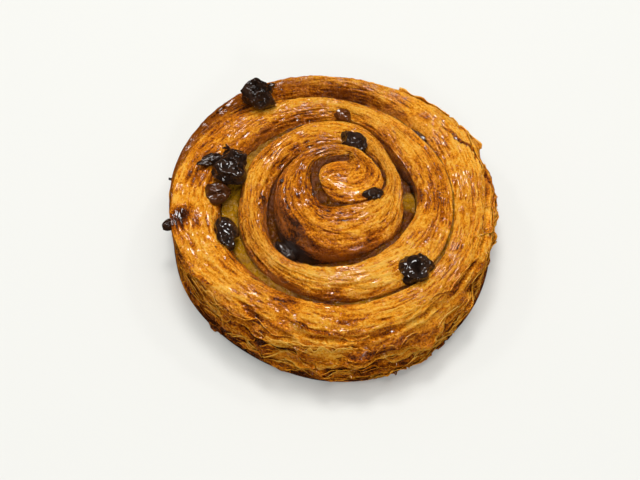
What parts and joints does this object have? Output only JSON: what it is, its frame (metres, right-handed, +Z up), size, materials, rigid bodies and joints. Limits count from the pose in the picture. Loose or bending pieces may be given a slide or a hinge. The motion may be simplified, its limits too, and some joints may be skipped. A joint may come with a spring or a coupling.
{
  "type": "danish pastry",
  "caption": "Round spiral danish pastry: a rolled strip of laminated dough with a custard seam and glazed raisins, baked flat.",
  "frame": {"origin": "middle of the base, under the middle of the object's box, on the surface it rests on", "axes": "+Z up out of the base; +Y away from the side that was nearest the viewer; +X to the viewer's right"},
  "size_m": [0.1136, 0.1164, 0.0349],
  "materials": {
    "baked_crust": "glazed golden-brown baked laminated dough",
    "baked_custard": "glossy baked custard, caramelised in places",
    "dried_fruit": "wrinkled, glazed, nearly black"
  },
  "bodies": {
    "root": {"dough_roll": "baked_crust", "custard_filling": "baked_custard", "raisin_01": "dried_fruit", "raisin_02": "dried_fruit", "raisin_03": "dried_fruit", "raisin_04": "dried_fruit", "raisin_05": "dried_fruit", "raisin_06": "dried_fruit", "raisin_07": "dried_fruit", "raisin_08": "dried_fruit", "raisin_09": "dried_fruit", "raisin_10": "dried_fruit", "raisin_11": "dried_fruit", "raisin_12": "dried_fruit"}
  },
  "joints": []
}
